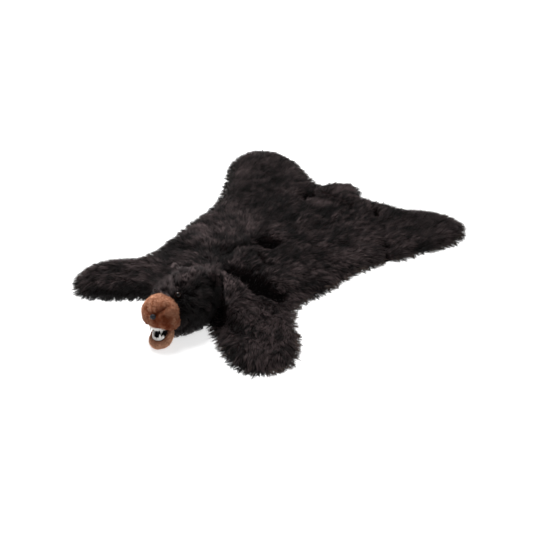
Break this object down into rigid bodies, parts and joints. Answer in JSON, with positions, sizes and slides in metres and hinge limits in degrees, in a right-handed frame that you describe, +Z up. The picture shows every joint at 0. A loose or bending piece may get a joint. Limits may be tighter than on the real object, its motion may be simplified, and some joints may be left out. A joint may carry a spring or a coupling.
{
  "type": "plush bearskin rug",
  "caption": "Black faux-fur bear rug lying flat, with spread legs, a stub tail, ears, and a stuffed head with brown muzzle, open mouth and teeth.",
  "frame": {"origin": "on the floor that the rug lies on, in the middle of its overall length and width", "axes": "+Y from the nose to the tail, +X to the bear's left, +Z up"},
  "size_m": [1.0575, 1.3043, 0.1908],
  "materials": {
    "black_fur": "long brown-black pile",
    "brown_plush": "short dense plush",
    "mouth_cloth": "matt short-napped cloth",
    "tooth_felt": "felt",
    "nose_black": "satin",
    "eye_brown": "polished"
  },
  "bodies": {
    "root": {"pelt": "black_fur", "tail": "black_fur", "head": "black_fur", "ear_left": "black_fur", "ear_right": "black_fur", "muzzle": "brown_plush", "jaw": "brown_plush", "mouth_lining": "mouth_cloth", "teeth_upper": "tooth_felt", "teeth_lower": "tooth_felt", "nose": "nose_black", "eye_left": "eye_brown", "eye_right": "eye_brown"}
  },
  "joints": []
}
